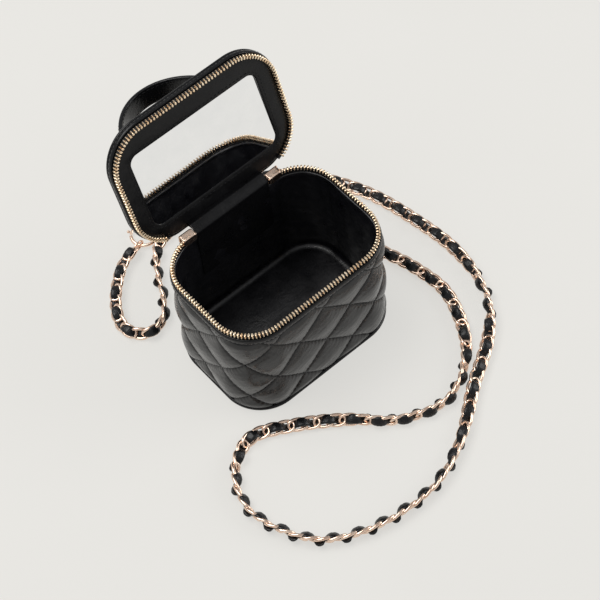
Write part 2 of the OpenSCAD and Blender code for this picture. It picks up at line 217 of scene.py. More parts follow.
def all_round(step):
    """Stations all the way round, about step apart."""
    return np.arange(round(PERIMETER / step)) * PERIMETER / round(PERIMETER / step)


def stations_between(low, high, step):
    return np.linspace(low, high, max(2, round((high - low) / step)))


class Batch:
    """Many copies of small shapes joined in one mesh."""

    def __init__(self):
        self.points, self.faces, self.count = [], [], 0

    def add(self, points, faces):
        self.points.append(np.asarray(points, float).reshape(-1, 3))
        self.faces += [[self.count + i for i in f] for f in faces]
        self.count += len(self.points[-1])

    def mesh(self):
        return np.concatenate(self.points), self.faces


def tube_mesh(line, radius, sides=8, closed=False, side=None, flat=1.0):
    """A wire along points; radius may vary along it, and flat squeezes it across its side direction."""
    line = np.asarray(line, float)
    ahead = np.roll(line, -1, 0) - np.roll(line, 1, 0) if closed else np.gradient(line, axis=0)
    ahead /= np.linalg.norm(ahead, axis=1)[:, None]
    across = np.zeros_like(line)
    across[0] = side if side is not None else np.cross(ahead[0], [0.13, 0.27, 0.95])
    for i in range(len(line)):
        v = across[max(0, i - 1)]
        v = v - ahead[i] * (v @ ahead[i])
        across[i] = v / np.linalg.norm(v)
    up = np.cross(ahead, across)
    angle = np.arange(sides) * 2 * math.pi / sides
    radius = np.broadcast_to(radius, len(line))[:, None, None]
    points = line[:, None] + radius * (
        np.cos(angle)[None, :, None] * across[:, None] + flat * np.sin(angle)[None, :, None] * up[:, None])
    return points, grid_faces(len(line), sides, True, True) if closed else capped(len(line), sides)


def capsule(start, end, normal, radius=0.24, sink=0.18):
    """One stitch lying on a surface, its two ends pulled into it."""
    start, end, normal = (np.asarray(v, float) for v in (start, end, normal))
    along = np.linspace(0, 1, 7)
    line = start + (end - start) * along[:, None]
    line = line + normal * (radius * 0.55 - sink * (2 * along[:, None] - 1) ** 4)
    return tube_mesh(line, radius * np.sqrt(1.02 - (2 * along - 1) ** 4), 6)


def stitch_row(batch, points, normals, pitch=3.0, length=2.3, radius=0.24):
    """Stitches along a line of points on a surface."""
    travelled = np.r_[0, np.cumsum(np.linalg.norm(np.diff(points, axis=0), axis=1))]
    for start in np.arange(0.3, travelled[-1] - length, pitch):
        ends = [np.array([np.interp(d, travelled, points[:, k]) for k in range(3)])
                for d in (start, start + length)]
        normal = np.array([np.interp(start + length / 2, travelled, normals[:, k]) for k in range(3)])
        batch.add(*capsule(*ends, normal / np.linalg.norm(normal), radius))


def lid_stitches(batch, line, outward, **sizes):
    """Stitches along a line of the closed lid, which is turned open with them."""
    placed = lid_place(line)
    stitch_row(batch, placed, lid_place(line + np.asarray(outward, float)) - placed, **sizes)


def ripple(u, v, size, seed=0.0):
    """Smooth irregular waves from -1 to 1, about size across."""
    k = 2 * math.pi / size
    return (np.sin(k * (u * 0.83 + v * 0.31) + seed + 1.7 * np.sin(k * v * 0.37 + seed))
            + np.sin(k * (u * -0.42 + v * 0.77) + 2.3 * seed + 1.3 * np.sin(k * u * 0.29))
            + np.sin(k * (u * 0.25 - v * 0.66) * 1.9 + 4.1 + seed)) / 3


# ---- materials ----

BANDS_PER_UNIT = 3.18       # a wave texture's own bands in one unit, at scale 1
SEAM_PAINTED_SHADE = 0.9         # how much of its gloss quilted leather loses in a seam: painted shade that darkens the seam lines
# width of the painted shade beside each seam, in millimetres
SEAM_PAINTED_SHADE_W = 0.5


class Nodes:
    """Short way to write a node tree round a Principled shader."""

    def __init__(self, name, colour, rough, metal=0.0, **sockets):
        self.material = bpy.data.materials.new(name)
        self.material.use_nodes = True
        self.tree = self.material.node_tree
        self.shader = self.tree.nodes["Principled BSDF"]
        self.shader.inputs["Base Color"].default_value = (*colour, 1)
        self.shader.inputs["Roughness"].default_value = rough
        self.shader.inputs["Metallic"].default_value = metal
        for socket, value in sockets.items():
            self.shader.inputs[socket.replace("_", " ")].default_value = value

    def node(self, kind, links=(), **values):
        made = self.tree.nodes.new("ShaderNode" + kind)
        for key, value in values.items():
            if hasattr(made, key):
                setattr(made, key, value)
            else:
                made.inputs[key.replace("_", " ")].default_value = value
        for socket, source in dict(links).items():
            self.tree.links.new(source, made.inputs[socket])
        return made

    def place(self, cloth=False):
        if cloth:
            return self.node("Attribute", attribute_name="cloth").outputs["Vector"]
        return self.node("TexCoord").outputs["Object"]

    def noise(self, where, size_mm, detail=3.0, rough=0.5, warp=0.0):
        return self.node("TexNoise", {"Vector": where}, Scale=1 / (size_mm * MM), Detail=detail,
                         Roughness=rough, Distortion=warp).outputs["Fac"]

    def cells(self, where, size_mm, feature="DISTANCE_TO_EDGE"):
        return self.node("TexVoronoi", {"Vector": where}, feature=feature,
                         Scale=1 / (size_mm * MM)).outputs["Distance"]

    def ramp(self, factor, low, high, at=(0.3, 0.7)):
        """A colour or grey ramp between two values."""
        made = self.node("ValToRGB", {"Fac": factor})
        for element, position, value in zip(made.color_ramp.elements, at, (low, high)):
            element.position = position
            element.color = (*value, 1) if hasattr(value, "__len__") else (value, value, value, 1)
        return made.outputs["Color"]

    def math(self, operation, a, b):
        made = self.node("Math", operation=operation)
        for socket, value in zip(made.inputs, (a, b)):
            if isinstance(value, (int, float)):
                socket.default_value = value
            else:
                self.tree.links.new(value, socket)
        return made.outputs[0]

    def colour(self, source):
        self.tree.links.new(source, self.shader.inputs["Base Color"])

    def rough(self, source):
        self.tree.links.new(source, self.shader.inputs["Roughness"])

    def bump(self, *layers):
        """Each layer is (height, strength, depth in millimetres)."""
        normal = None
        for height, strength, depth in layers:
            links = {"Height": height}
            if normal:
                links["Normal"] = normal
            normal = self.node("Bump", links, Strength=strength, Distance=depth * MM).outputs["Normal"]
        self.tree.links.new(normal, self.shader.inputs["Normal"])
        return self.material


def leather(name, dark, light, rough, grain_mm, grain, crease, crease_mm, quilted=False, **sockets):
    """Coated leather: fine pebbled grain, soft creases, patchy gloss and paler rubbed places.

    Quilted leather has painted shade in its seams, where its gloss is cut; the other leathers' gloss level
    is plain on the shader's socket."""
    n = Nodes(name, dark, rough, **sockets)
    if quilted:
        # painted shade: the gloss is cut along the seams so they read as dark lines
        seam = n.node("Attribute", attribute_name="seam").outputs["Fac"]
        gloss = n.shader.inputs["Specular IOR Level"]
        n.tree.links.new(n.math("MULTIPLY", n.math("SUBTRACT", 1.0, n.math("MULTIPLY", seam, SEAM_PAINTED_SHADE)),
                                gloss.default_value), gloss)
    where = n.place()
    pebbles = n.cells(where, grain_mm)
    patches = n.noise(where, 14, 4, 0.6)
    creases = n.noise(where, crease_mm, 5, 0.62, 1.2)
    n.colour(n.ramp(n.math("ADD", n.math("MULTIPLY", patches, 0.75), n.math("MULTIPLY", pebbles, 0.35)),
                    dark, light, (0.3, 0.85)))
    n.rough(n.ramp(patches, rough - 0.05, rough + 0.10))
    return n.bump((creases, crease, 0.6), (pebbles, grain, 0.12), (n.noise(where, 0.35, 2), 0.15, 0.03))


def woven(name, dark, light, rough, thread_mm=0.45, slant=0.35, **sockets):
    """Tape or cloth woven from fine threads, with a slanted rib."""
    n = Nodes(name, dark, rough, **sockets)
    where = n.place(cloth=True)
    turned = n.node("Mapping", {"Vector": where}, Rotation=(0, 0, slant)).outputs["Vector"]
    scale = 1 / (thread_mm * MM) / BANDS_PER_UNIT
    warp = n.node("TexWave", {"Vector": turned}, wave_type="BANDS", bands_direction="X", Scale=scale,
                  Distortion=0.6, Detail=1.0).outputs["Fac"]
    weft = n.node("TexWave", {"Vector": turned}, wave_type="BANDS", bands_direction="Y", Scale=scale,
                  Distortion=0.6, Detail=1.0).outputs["Fac"]
    threads = n.math("MULTIPLY", warp, weft)
    fuzz = n.noise(n.place(), 3.0, 4, 0.65)
    n.colour(n.ramp(n.math("ADD", n.math("MULTIPLY", threads, 0.7), n.math("MULTIPLY", fuzz, 0.5)),
                    dark, light, (0.15, 0.9)))
    n.rough(n.ramp(fuzz, rough - 0.06, rough + 0.08))
    return n.bump((threads, 0.6, 0.12), (fuzz, 0.2, 0.1))


def metal(name, deep, bright, rough, scratch_mm=2.2):
    """Plated metal with soft scratches, handling marks and a little unevenness from the mould."""
    n = Nodes(name, bright, rough, metal=1.0)
    where = n.place()
    stretched = n.node("Mapping", {"Vector": where}, Scale=(1.0, 1.0, 0.18)).outputs["Vector"]
    scratches = n.noise(stretched, scratch_mm / 6, 3, 0.7)
    smears = n.noise(where, 5.0, 4, 0.6)
    n.colour(n.ramp(smears, deep, bright, (0.25, 0.6)))
    n.rough(n.ramp(smears, rough - 0.05, rough + 0.12))
    return n.bump((scratches, 0.10, 0.03), (smears, 0.12, 0.15))


def board_material():
    """Grey bookbinding board, hidden inside the walls."""
    n = Nodes("board", (0.35, 0.30, 0.25), 0.9)
    where = n.place()
    n.colour(n.ramp(n.noise(where, 1.2, 6, 0.7), (0.27, 0.23, 0.19), (0.42, 0.37, 0.31)))
    return n.bump((n.noise(where, 0.5, 3), 0.5, 0.1),)


def foam_material():
    n = Nodes("foam", (0.2, 0.2, 0.21), 0.95)
    where = n.place()
    n.colour(n.ramp(n.cells(where, 0.8), (0.12, 0.12, 0.13), (0.27, 0.27, 0.28), (0.05, 0.5)))
    return n.bump((n.cells(where, 0.8), 0.7, 0.3),)


def mirror_material():
    """Silvered glass with a trace of dust and polishing haze."""
    n = Nodes("mirror", (0.93, 0.94, 0.945), 0.02, metal=1.0)
    where = n.place()
    dust = n.noise(where, 16, 6, 0.7)
    n.colour(n.ramp(dust, (0.90, 0.91, 0.92), (0.95, 0.955, 0.96)))
    n.rough(n.ramp(dust, 0.012, 0.045))
    return n.bump((n.noise(where, 45, 2), 0.03, 0.05),)


def lining_material():
    """Glossy black satin-backed lining with a very fine twill."""
    n = Nodes("lining", (0.004, 0.004, 0.005), 0.30, Specular_IOR_Level=0.6)
    where = n.place()
    turned = n.node("Mapping", {"Vector": n.place(cloth=True)}, Rotation=(0, 0, 0.8)).outputs["Vector"]
    twill = n.node("TexWave", {"Vector": turned}, wave_type="BANDS", bands_direction="X",
                   Scale=1 / (0.5 * MM) / BANDS_PER_UNIT, Distortion=0.4, Detail=1.0).outputs["Fac"]
    soft = n.noise(where, 12, 5, 0.6)
    n.colour(n.ramp(soft, (0.003, 0.003, 0.0045), (0.009, 0.009, 0.011)))
    n.rough(n.ramp(soft, 0.26, 0.42))
    return n.bump((n.noise(where, 10, 4, 0.6, 1.5), 0.35, 0.8), (twill, 0.18, 0.04))


def thread_material():
    n = Nodes("thread", (0.006, 0.006, 0.007), 0.6, Specular_IOR_Level=0.25)
    where = n.place()
    n.colour(n.ramp(n.noise(where, 0.5, 2), (0.004, 0.004, 0.005), (0.012, 0.012, 0.013)))
    return n.bump((n.noise(where, 0.18, 2), 0.4, 0.05),)


def floor_material():
    """Pale paper on a lit table, so the shadows on it stay faint."""
    n = Nodes("floor", (0.21, 0.20, 0.19), 0.85, Specular_IOR_Level=0.1,
              Emission_Color=(0.585, 0.578, 0.555, 1), Emission_Strength=1.0)
    where = n.place()
    n.colour(n.ramp(n.noise(where, 180, 3), (0.205, 0.20, 0.19), (0.215, 0.21, 0.20)))
    return n.bump((n.noise(where, 1.5, 3), 0.05, 0.05),)


QUILT_LEATHER = leather("quilted_leather", (0.003, 0.003, 0.0035), (0.008, 0.008, 0.009), 0.21,
                        grain_mm=0.8, grain=0.12, crease=0.45, crease_mm=9, quilted=True,
                        Specular_IOR_Level=0.50)
SMOOTH_LEATHER = leather("smooth_leather", (0.003, 0.003, 0.0035), (0.008, 0.008, 0.009), 0.30,
                         grain_mm=0.6, grain=0.25, crease=0.5, crease_mm=7, Specular_IOR_Level=0.24)
GLOSSY_LEATHER = leather("glossy_leather", (0.0025, 0.0025, 0.003), (0.006, 0.006, 0.007), 0.17,
                         grain_mm=0.5, grain=0.10, crease=0.5, crease_mm=5, Specular_IOR_Level=0.32)
STRAP_LEATHER = leather("strap_leather", (0.0025, 0.0025, 0.003), (0.007, 0.007, 0.008), 0.27,
                        grain_mm=0.6, grain=0.2, crease=0.6, crease_mm=4, Specular_IOR_Level=0.4)
TAPE = woven("zip_tape", (0.010, 0.010, 0.011), (0.030, 0.030, 0.032), 0.72)
ZIP_BRASS = metal("zip_brass", (0.82, 0.52, 0.28), (1.0, 0.84, 0.62), 0.24)
ROSE_GOLD = metal("rose_gold", (0.80, 0.53, 0.39), (0.97, 0.76, 0.61), 0.17)
LINING = lining_material()
THREAD = thread_material()
MIRROR = mirror_material()
BOARD = board_material()
FOAM = foam_material()


# ---- camera ----

CAMERA_TARGET = np.array([18.8, 8.2, 0.0])
CAMERA_DISTANCE = 1300.0
CAMERA_AZIMUTH = math.radians(-34.4)
CAMERA_ELEVATION = math.radians(57.6)
CAMERA_ROLL = math.radians(-7.3)
CAMERA_LENS = 120.5


def make_camera():
    a, e, roll = CAMERA_AZIMUTH, CAMERA_ELEVATION, CAMERA_ROLL
    back = np.array([math.sin(a) * math.cos(e), -math.cos(a) * math.cos(e), math.sin(e)])
    level = np.array([math.cos(a), math.sin(a), 0])
    up = np.cross(back, level)
    right = math.cos(roll) * level + math.sin(roll) * up
    up = np.cross(back, right)
    data = bpy.data.cameras.new("camera")
    data.lens = CAMERA_LENS
    data.clip_end = 20
    camera = bpy.data.objects.new("camera", data)
    turn = Matrix([right, up, back]).transposed().to_4x4()
    camera.matrix_world = Matrix.Translation((CAMERA_TARGET + back * CAMERA_DISTANCE) * MM) @ turn
    bpy.context.scene.collection.objects.link(camera)
    bpy.context.scene.camera = camera


make_camera()


# ---- shoulder strap: leather ribbon woven through a curb chain ----

CORD_Z = 4.6
STRAP_ROUTE = [
    (18, 55, 43), (18, 57, 30), (22, 61, 16), (35, 65, 6.2), (56, 57, CORD_Z), (70, 36, CORD_Z),
    (79, 4, CORD_Z), (88, -27, CORD_Z), (89, -58, CORD_Z), (70, -94, CORD_Z), (38, -112, CORD_Z),
    (6, -103, CORD_Z), (-18, -81, CORD_Z), (-46, -61, CORD_Z), (-72, -50, CORD_Z),
    (-95, -64, CORD_Z), (-103, -92, CORD_Z), (-89, -126, CORD_Z), (-66, -143, CORD_Z),
    (-36, -151, CORD_Z), (-4, -150, CORD_Z), (26, -137, CORD_Z), (56, -116, CORD_Z),
    (86, -97, CORD_Z), (107, -74, CORD_Z), (116, -40, CORD_Z), (114, -3, CORD_Z), (103, 44, CORD_Z),
    (76, 87, CORD_Z), (40, 103, CORD_Z), (2, 107, CORD_Z), (-22, 103, CORD_Z), (-36, 88, CORD_Z),
    (-45, 71, CORD_Z), (-52, 60, CORD_Z), (-61, 53, CORD_Z), (-71, 54, CORD_Z), (-78, 61, CORD_Z),
    (-79, 72, CORD_Z), (-72, 86, CORD_Z), (-60, 99, CORD_Z), (-47, 108, CORD_Z), (-33, 111, CORD_Z),
]
LINK_PITCH = 8.0
LINK_HALF_L = 5.9
LINK_HALF_W = 3.5
LINK_WIRE = 1.05
LINK_TILT = math.radians(33)
LINK_TWIST = math.radians(23)
END_SHORT = 2.2             # the end links stop this far from the route's ends, in connecting links
RING_R = 8.85
RING_WIRE = 1.15
GATE_TURN = math.radians(106)
# centre of each spring ring, the direction of its gate, and the second direction of its plane
SPRING_RINGS = {
    "left": ((-24.5, 116.5, 2.85), (math.cos(GATE_TURN), math.sin(GATE_TURN), 0),
             (-math.sin(GATE_TURN), math.cos(GATE_TURN), 0)),
    "right": ((18, 55.085, 53.215), (0, 1, 0), (0, 0, 1)),
}
RING_HELD_AT = {"left": (-31.93, 111.69, 3.78), "right": (18, 55.085, 44.365)}
JOIN_HALF_L = 4.2           # the connecting link between a ring and the first curb link
JOIN_HALF_W = 3.0
JOIN_WIRE = 0.75
JOIN_BACK = 1.6
KNOB_RADII = (0.6, 0.6, 0.6, 0.62, 0.85, 1.05, 1.12, 1.0, 0.55)
RIBBON_RISE = 2.35
RIBBON_LEAD = 0.34          # how much longer the ribbon stays on top of the chain than under it
RIBBON_HALF_W = (2.0, 3.15) # where it dips through a link, and at the middle of a puff
RIBBON_HALF_T = (0.7, 1.25)
# how far the strap has turned about its own length, in degrees, at distances from its clipped end
STRAP_TURNS = ((0, 0), (60, -10), (90, -36), (212, -38), (236, 10), (252, 58), (322, 52), (345, 4),
               (396, 0), (425, 50), (462, 34), (600, 35), (640, -18), (655, -34), (690, -30), (716, 58),
               (734, 54), (756, 0), (985, -8), (1012, 48), (1062, 55), (1090, 0), (1130, -8), (1157, 0))


def catmull(points, steps):
    """The smooth curve through the route's points that the frame's strap follows."""
    p = np.asarray(points, float)
    p = np.concatenate([p[:1], p, p[-1:]])
    t = (np.arange(steps) / steps)[:, None]
    spans = [0.5 * (2 * b + (c - a) * t + (2 * a - 5 * b + 4 * c - d) * t ** 2
                    + (3 * b - a - 3 * c + d) * t ** 3)
             for a, b, c, d in zip(p[:-3], p[1:-2], p[2:-1], p[3:])]
    return np.concatenate(spans + [p[-1:]])


class Route:
    """The strap's centreline by distance, with its side and up directions."""

    def __init__(self, points):
        line = catmull(points, 24)
        travelled = np.r_[0, np.cumsum(np.linalg.norm(np.diff(line, axis=0), axis=1))]
        self.length = travelled[-1]
        self.at = np.linspace(0, self.length, 1200)
        self.line = self.read(self.at, travelled, line)
        self.ahead = np.gradient(self.line, axis=0)
        self.ahead /= np.linalg.norm(self.ahead, axis=1)[:, None]
        self.up = np.zeros_like(self.line)
        up = np.array([0.0, 0.0, 1.0])
        for i in range(len(self.line) - 1, -1, -1):
            up = up - self.ahead[i] * (up @ self.ahead[i])
            up /= np.linalg.norm(up)
            self.up[i] = up

    @staticmethod
    def read(d, at, values):
        return np.stack([np.interp(d, at, values[:, k]) for k in range(3)], -1)

    def frame(self, d):
        """Position, ahead, side and up at distances d, straight on past the ends."""
        d = np.asarray(d, float)
        inside = np.clip(d, 0, self.length)
        ahead = self.read(inside, self.at, self.ahead)
        ahead /= np.linalg.norm(ahead, axis=-1, keepdims=True)
        up = self.read(inside, self.at, self.up)
        up = up - ahead * (up * ahead).sum(-1, keepdims=True)
        up /= np.linalg.norm(up, axis=-1, keepdims=True)
        side = np.cross(ahead, up)
        place = self.read(inside, self.at, self.line) + ahead * (d - inside)[..., None]
        roll = strap_roll(inside)[..., None]
        c, s = np.cos(roll), np.sin(roll)
        return place, ahead, side * c + up * s, up * c - side * s


def strap_roll(d):
    """How the strap has turned about its own length, as it settled on the floor."""
    at, turns = np.array(STRAP_TURNS, float).T
    near = np.linspace(-9, 9, 7)
    smooth = np.mean([np.interp(d + step, at, turns) for step in near], axis=0)
    return np.radians(smooth + 5 * np.sin(d / 41 + 2.0))


def ribbon_mesh(route):
    """The leather ribbon: over one joint of the chain, under the next, puffed where it is free."""
    first = LINK_HALF_L + END_SHORT
    d = np.linspace(END_SHORT, route.length - END_SHORT, 1180)
    wave = np.cos(math.pi * (d - first - LINK_PITCH / 2) / LINK_PITCH) + RIBBON_LEAD
    wave = wave / np.where(wave > 0, 1 + RIBBON_LEAD, 1 - RIBBON_LEAD)
    rise = RIBBON_RISE * blunt(wave, 0.5)
    puff = np.abs(wave) ** 0.3
    fade = np.clip((np.minimum(d, route.length - d) - END_SHORT) / 4, 0.25, 1)
    half_w = (RIBBON_HALF_W[0] + (RIBBON_HALF_W[1] - RIBBON_HALF_W[0]) * puff) * fade
    half_t = (RIBBON_HALF_T[0] + (RIBBON_HALF_T[1] - RIBBON_HALF_T[0]) * puff) * fade
    wrinkle = 0.12 * np.sin(d * 2.9) * puff
    half_t = half_t * (1 + 0.10 * np.sin(d * 1.7 + 1.0) * puff)
    place, _, side, up = route.frame(d)
    sides = 14
    angle = np.arange(sides) * 2 * math.pi / sides
    x, y = blunt(np.cos(angle), 0.6), blunt(np.sin(angle), 0.85)
    lean = 0.25 * np.sin(d / 23.0)
    points = (place[:, None]
              + side[:, None] * (x[None, :] * (half_w + wrinkle)[:, None] + lean[:, None])[..., None]
              + up[:, None] * (y[None, :] * half_t[:, None] + (rise * fade)[:, None])[..., None])
    return points, capped(len(d), sides)


def chain_mesh(route):
    """Twisted curb links, each through the next, from one spring ring to the other."""
    batch = Batch()
    first = LINK_HALF_L + END_SHORT
    last = route.length - first
    for centre in np.linspace(first, last, round((last - first) / LINK_PITCH) + 1):
        turn = np.linspace(0, 2 * math.pi, 28, endpoint=False)
        along = LINK_HALF_L * blunt(np.cos(turn), 0.85)
        width = LINK_HALF_W * blunt(np.sin(turn), 0.85)
        tilt = LINK_TILT + LINK_TWIST * along / LINK_HALF_L
        place, _, side, up = route.frame(centre + along)
        line = place + side * (width * np.cos(tilt))[:, None] + up * (width * np.sin(tilt))[:, None]
        batch.add(*tube_mesh(line, LINK_WIRE, 8, closed=True))
    return batch.mesh()


def ring_points(side_name, low, high, count, radius=RING_R):
    """Points round a spring ring, angles in degrees from the middle of its gate."""
    centre, first, second = (np.array(v, float) for v in SPRING_RINGS[side_name])
    angle = np.radians(np.linspace(low, high, count))[:, None]
    return centre + radius * (np.cos(angle) * first + np.sin(angle) * second)


def make_ring_fittings(route):
    """Connecting links, and each spring ring's sleeve and thumb knob."""
    made = []
    ends = {"left": (route.ahead[-1], np.array([0, 0, 1.0])),
            "right": (np.array([0, 0, 1.0]), np.array([1.0, 0, 0]))}
    turn = np.linspace(0, 2 * math.pi, 36, endpoint=False)[:, None]
    for side_name, (towards, across) in ends.items():
        centre = np.array(RING_HELD_AT[side_name]) - towards * JOIN_BACK
        loop = centre + JOIN_HALF_L * np.cos(turn) * towards + JOIN_HALF_W * np.sin(turn) * across
        link = piece("strap_link_" + side_name, *tube_mesh(loop, JOIN_WIRE, 10, closed=True), ROSE_GOLD,
                     "case", "hardware", flat_angle=0)
        sleeve_line = ring_points(side_name, -80, -42, 16)
        along = np.linspace(-1, 1, 16)
        sleeve = piece("strap_ring_%s_sleeve" % side_name,
                       *tube_mesh(sleeve_line, RING_WIRE + 0.75 * (1 - along ** 8) ** 0.5, 14), ROSE_GOLD,
                       "case", "hardware")
        centre = np.array(SPRING_RINGS[side_name][0], float)
        foot = ring_points(side_name, 20, 20, 1)[0]
        out = (foot - centre) / np.linalg.norm(foot - centre)
        stem = foot + out * np.linspace(0, 3.1, 9)[:, None]
        knob = piece("strap_gate_%s_knob" % side_name,
                     *tube_mesh(stem, KNOB_RADII, 12), ROSE_GOLD,
                     "strap_gate_" + side_name, "hardware")
        made += [turned_out(link), turned_out(sleeve), turned_out(knob)]
    return made


def make_strap():
    route = Route(STRAP_ROUTE)
    ribbon = piece("strap_leather_ribbon", *ribbon_mesh(route), STRAP_LEATHER, "case", "strap",
                   ["strap_cord"], flat_angle=0)
    chain = piece("strap_chain", *chain_mesh(route), ROSE_GOLD, "case", "hardware", flat_angle=0)
    place, _, _, _ = route.frame(np.linspace(0, route.length, 400))
    rings = ("strap_ring_left", "strap_ring_right", "strap_gate_left", "strap_gate_right")
    on_it = [turned_out(chain)] + make_ring_fittings(route) + [frame["nodes"][n] for n in rings]
    turned_out(ribbon)


make_strap()


# ---- case ----

QUILT_L = 40.0
QUILT_H = 37.0
QUILT_Z = 35.0
PUFF = 1.3                  # how far a diamond's crown stands out of the wall's outline
SEAM = 1.1                  # how deep the leather is drawn in along a seam
GROOVE = 0.45               # the sharp crease that the thread pulls, deeper still
GROOVE_W = 0.75


def diamonds(u, v):
    """0 on a seam and 1 in the middle of a diamond."""
    a, b = u / QUILT_L + v / QUILT_H, u / QUILT_L - v / QUILT_H
    return (np.abs(np.sin(math.pi * a)) * np.abs(np.sin(math.pi * b))) ** 0.62


def puckers(u, v):
    """Short gathers that run off the seams."""
    a, b = u / QUILT_L + v / QUILT_H, u / QUILT_L - v / QUILT_H
    near_a = np.exp(-np.abs(np.sin(math.pi * a)) * 3.4)
    near_b = np.exp(-np.abs(np.sin(math.pi * b)) * 3.4)
    off = 0.8 * np.sin(a * 7.1) + 0.8 * np.sin(b * 5.3)
    return near_a * np.sin(b * 2 * math.pi * 8 + off) + near_b * np.sin(a * 2 * math.pi * 8 + off)


def to_seam(u, v):
    """Distance to the nearest seam, in millimetres."""
    a, b = u / QUILT_L + v / QUILT_H, u / QUILT_L - v / QUILT_H
    off = np.minimum(np.abs(a - np.round(a)), np.abs(b - np.round(b)))
    return off * QUILT_L * QUILT_H / math.hypot(QUILT_L, QUILT_H)


def from_front(s):
    """Distance round the outline from the front centre, the same to either side."""
    return np.abs(np.mod(s + PERIMETER / 2, PERIMETER) - PERIMETER / 2)


def wall_inset(s, z):
    """Inset of the quilted wall's outer face: puffs, puckers, creases at the thread and a little sag."""
    around = from_front(s)
    puff = diamonds(around, z - QUILT_Z)
    to_back_seam = np.clip((PERIMETER / 2 - around) / 3.5, 0, 1) ** 0.5
    edge = np.clip((z - WALL_LOW[2]) / 5, 0, 1) ** 0.5 * np.clip((WALL_HIGH[2] - z) / 4, 0, 1) ** 0.5
    raised = puff * to_back_seam * edge
    fine = 0.10 * puckers(around, z - QUILT_Z) + 0.12 * ripple(s, z, 15) + 0.05 * ripple(s, z, 5, 2.0)
    crease = GROOVE * np.exp(-(to_seam(around, z - QUILT_Z) / GROOVE_W) ** 2)
    return np.minimum(SEAM - (SEAM + PUFF) * raised - fine * edge + crease, COVER_T - 0.05)


def make_quilted_wall():
    s = all_round(0.62)
    z = np.linspace(WALL_LOW[2], WALL_HIGH[2], 126)
    grid_s, grid_z = np.meshgrid(s, z, indexing="ij")
    xy, _ = rounded(grid_s, wall_inset(grid_s, grid_z))
    outer = at_height(xy, grid_z)
    xy, _ = rounded(s, COVER_T)
    top, bottom = at_height(xy, WALL_HIGH[2]), at_height(xy, WALL_LOW[2])
    points = np.concatenate([bottom[:, None], outer, top[:, None]], 1)
    around = from_front(grid_s)
    seam = np.ones(points.shape[:2])
    # painted shade mask: 1 on a seam and on the top and bottom rows, fading off beside each seam
    seam[:, 1:-1] = np.exp(-(to_seam(around, grid_z - QUILT_Z) / SEAM_PAINTED_SHADE_W) ** 2)
    wall = piece("quilted_wall_leather", points, grid_faces(len(s), len(z) + 2, True, True),
                 QUILT_LEATHER, "case", "quilted_leather", ["quilted_wall"], flat_angle=60, seam=seam)
    turned_out(wall)

    batch = Batch()
    for slope in (-1, 1):
        for k in range(-6, 16):
            start = -k * slope * QUILT_L
            z = np.linspace(WALL_LOW[2] + 2.5, WALL_HIGH[2] - 1.5, 60)
            around = start + slope * (z - QUILT_Z) * QUILT_L / QUILT_H
            for half in (-1, 1):
                keep = (around >= 0) & (around <= PERIMETER / 2 - 1)
                if keep.sum() > 4:
                    s = half * around[keep]
                    xy, normal = rounded(s, wall_inset(s, z[keep]) + 0.05)
                    stitch_row(batch, at_height(xy, z[keep]), at_height(normal, 0.0), pitch=3.1, length=2.2)
    z = np.linspace(WALL_LOW[2] + 3, WALL_HIGH[2] - 2, 40)
    back = np.full(len(z), PERIMETER / 2 - 0.1)
    xy, normal = rounded(back, wall_inset(back, z))
    stitch_row(batch, at_height(xy, z), at_height(normal, 0.0))
    piece("quilt_stitching", *batch.mesh(), THREAD, "case", "quilted_leather")


def convex(low, high, swell=0.25, seam=0.5):
    """Closed profile of a padded leather band between two heights, inset 0 to the cover's thickness."""
    z = np.linspace(0, 1, 11)
    face = seam * (1 - np.sin(math.pi * z) ** 0.35) - swell * np.sin(math.pi * z)
    outer = [(inset, low + (high - low) * t) for inset, t in zip(face, z)]
    return outer + [(COVER_T * 0.6, high + 0.12), (COVER_T, high - 0.1), (COVER_T, low + 0.1)]


def circle_profile(inset, z, radius, sides=14):
    angle = np.arange(sides) * 2 * math.pi / sides
    return [(inset + radius * math.cos(a), z + radius * math.sin(a)) for a in angle]


def edge_stitches(name, inset, z, body, slot, place=None):
    """A row of stitches round a band, at one height."""
    s = stations_between(0.0, PERIMETER, 1.5)
    xy, normal = rounded(s, inset)
    line = at_height(xy, z)
    tip = line + at_height(normal, 0.0)
    if place:
        line, tip = place(line), place(tip)
    batch = Batch()
    stitch_row(batch, line, tip - line, pitch=2.8, length=2.0, radius=0.22)
    return piece(name, *batch.mesh(), THREAD, body, slot)


def make_case_bands():
    s = all_round(1.6)
    low, high = FACING_LOW[2], FACING_HIGH[2]
    points, faces, _ = round_band(convex(low, high), s)
    turned_out(piece("rim_facing_band", points, faces, GLOSSY_LEATHER, "case", "smooth_leather",
                     ["rim_facing"]))
    edge_stitches("rim_stitching", -0.02, low + 0.9, "case", "smooth_leather")
    points, faces, _ = round_band(circle_profile(PIPING_R, PIPING_R, PIPING_R), s)
    turned_out(piece("base_piping_cord", points, faces, GLOSSY_LEATHER, "case", "smooth_leather",
                     ["base_piping"], flat_angle=0))


def disc(inset, top, bottom, rings, s=None):
    """A closed slab in the case's outline: top is a height or a function of x and y."""
    s = all_round(1.6) if s is None else s
    rim, _ = rounded(s, inset)
    scale = np.linspace(1, 0.02, rings)
    xy = rim[None] * scale[:, None, None]
    z = top(xy[..., 0], xy[..., 1]) if callable(top) else np.full(xy.shape[:2], float(top))
    upper = at_height(xy, z)
    lower_xy = rim[None] * scale[::-1][:, None, None]
    points = np.concatenate([at_height(lower_xy, bottom), upper])
    return points, capped(2 * rings, len(s))


def make_base():
    low, high = box_mm("base_panel")
    points, faces = disc(RIM_INSET, high[2], low[2], 12)
    turned_out(piece("base_leather", points, faces, SMOOTH_LEATHER, "case", "smooth_leather",
                     ["base_panel"]))


